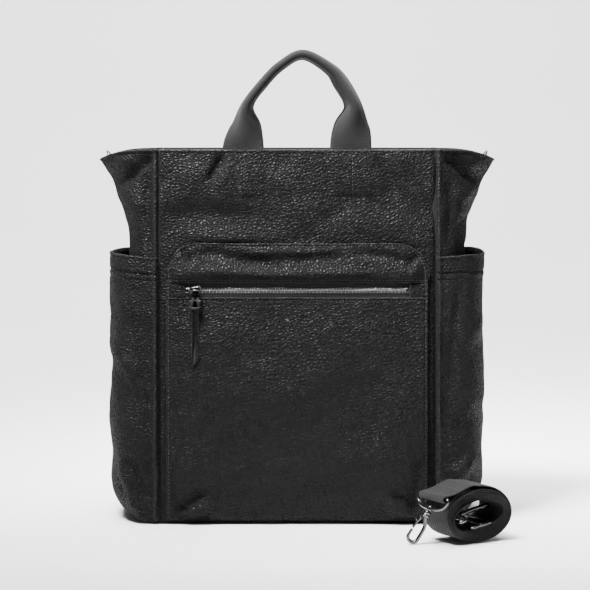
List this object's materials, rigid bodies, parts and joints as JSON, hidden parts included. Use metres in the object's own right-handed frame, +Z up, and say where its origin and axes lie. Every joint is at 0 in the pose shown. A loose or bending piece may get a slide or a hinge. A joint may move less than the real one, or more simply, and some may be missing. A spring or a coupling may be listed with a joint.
{
  "type": "diaper bag",
  "caption": "Tall leather diaper bag with flared wings, webbing handles, zipped front pocket, side slip pockets and a rolled detachable strap.",
  "frame": {"origin": "middle of the base, on the floor", "axes": "+Z up, the front with the zipped pocket faces -Y, +X to the right as seen from the front"},
  "size_m": [0.3911, 0.2742, 0.4517],
  "materials": {
    "pebbled_leather": "black pebbled leather, semi-gloss",
    "smooth_leather": "black smooth leather",
    "webbing": "matt black woven webbing",
    "lining_cloth": "dark woven lining",
    "board": "stiffening board",
    "zip_tape": "black woven zip tape",
    "bright_metal": "bright polished zip teeth",
    "gunmetal": "polished gunmetal plating"
  },
  "bodies": {
    "bag": {"front_panel": "pebbled_leather", "back_panel": "pebbled_leather", "left_gusset": "pebbled_leather", "right_gusset": "pebbled_leather", "base_panel": "pebbled_leather", "front_pocket_panel": "pebbled_leather", "front_pocket_top": "pebbled_leather", "left_side_pocket": "pebbled_leather", "right_side_pocket": "pebbled_leather", "back_pocket": "pebbled_leather", "front_facing": "smooth_leather", "back_facing": "smooth_leather", "front_zip_end_left": "smooth_leather", "front_zip_end_right": "smooth_leather", "left_ring_tab": "smooth_leather", "right_ring_tab": "smooth_leather", "front_handle_foot_left": "webbing", "front_handle_foot_right": "webbing", "back_handle_foot_left": "webbing", "back_handle_foot_right": "webbing", "lining": "lining_cloth", "interior_pocket_front": "lining_cloth", "interior_pocket_back": "lining_cloth", "front_pocket_lining": "lining_cloth", "base_board": "board", "front_zip_tape": "zip_tape", "front_zip_teeth_upper": "bright_metal", "front_zip_teeth_lower": "bright_metal", "front_zip_stop_left": "bright_metal", "front_zip_stop_right": "bright_metal", "top_snap_socket": "gunmetal", "top_snap_stud": "gunmetal"},
    "zip_slider": {"front_zip_slider": "gunmetal"},
    "zip_link": {"front_zip_link": "gunmetal"},
    "zip_pull": {"front_zip_pull": "smooth_leather"},
    "front_grip": {"front_handle": "webbing"},
    "back_grip": {"back_handle": "webbing"},
    "ring_left": {"left_ring": "gunmetal"},
    "ring_right": {"right_ring": "gunmetal"},
    "strap": {"strap_roll": "webbing", "strap_end_tab": "webbing", "strap_inner_eye": "gunmetal", "strap_adjuster": "gunmetal"},
    "hook_eye": {"strap_eye": "gunmetal"},
    "hook": {"strap_hook": "gunmetal"},
    "hook_gate": {"strap_gate": "gunmetal"},
    "inner_hook": {"strap_inner_hook": "gunmetal"},
    "inner_gate": {"strap_inner_gate": "gunmetal"}
  },
  "joints": [
    {"name": "zip_slide", "type": "slide", "parent": "bag", "child": "zip_slider", "axis": [1, 0, 0], "range_m": [0, 0.192]},
    {"name": "zip_link_lift", "type": "hinge", "parent": "zip_slider", "child": "zip_link", "pos_m": [-0.0966, -0.07109, 0.22375], "axis": [1, 0, 0], "range_deg": [-90, 0]},
    {"name": "zip_pull_lift", "type": "hinge", "parent": "zip_link", "child": "zip_pull", "pos_m": [-0.0966, -0.07214, 0.21381], "axis": [1, 0, 0], "range_deg": [-85, 0]},
    {"name": "front_grip_fold", "type": "hinge", "parent": "bag", "child": "front_grip", "pos_m": [0, -0.0477, 0.3579], "axis": [1, 0, 0], "range_deg": [-22, 95]},
    {"name": "back_grip_fold", "type": "hinge", "parent": "bag", "child": "back_grip", "pos_m": [0, 0.0477, 0.3579], "axis": [1, 0, 0], "range_deg": [-95, 22]},
    {"name": "ring_right_fold", "type": "hinge", "parent": "bag", "child": "ring_right", "pos_m": [0.1765, 0, 0.3395], "axis": [0, 1, 0], "range_deg": [-120, 0]},
    {"name": "ring_left_fold", "type": "hinge", "parent": "bag", "child": "ring_left", "pos_m": [-0.1765, 0, 0.3395], "axis": [0, 1, 0], "range_deg": [0, 120]},
    {"name": "strap_lift", "type": "slide", "parent": "bag", "child": "strap", "axis": [0, 0, 1], "range_m": [0, 0.3]},
    {"name": "hook_eye_swing", "type": "hinge", "parent": "strap", "child": "hook_eye", "pos_m": [0.12446, -0.1715, 0.0431], "axis": [-0.5, 0.866, 0], "range_deg": [0, 75]},
    {"name": "hook_swivel", "type": "hinge", "parent": "hook_eye", "child": "hook", "pos_m": [0.1212, -0.17338, 0.03276], "axis": [0.5161, 0.0307, 0.856], "continuous": true},
    {"name": "hook_gate_open", "type": "hinge", "parent": "hook", "child": "hook_gate", "pos_m": [0.11318, -0.17371, 0.0251], "axis": [0.0158, -0.9995, 0.0263], "range_deg": [0, 25], "stiffness_Nm_per_rad": 0.02, "springref_deg": -11.46},
    {"name": "inner_hook_swivel", "type": "hinge", "parent": "strap", "child": "inner_hook", "pos_m": [0.14627, -0.15891, 0.02392], "axis": [-0.8529, -0.4924, -0.1736], "continuous": true},
    {"name": "inner_gate_open", "type": "hinge", "parent": "inner_hook", "child": "inner_gate", "pos_m": [0.15435, -0.15133, 0.02434], "axis": [0.3802, -0.3578, -0.8529], "range_deg": [0, 25], "stiffness_Nm_per_rad": 0.02, "springref_deg": -11.46}
  ]
}
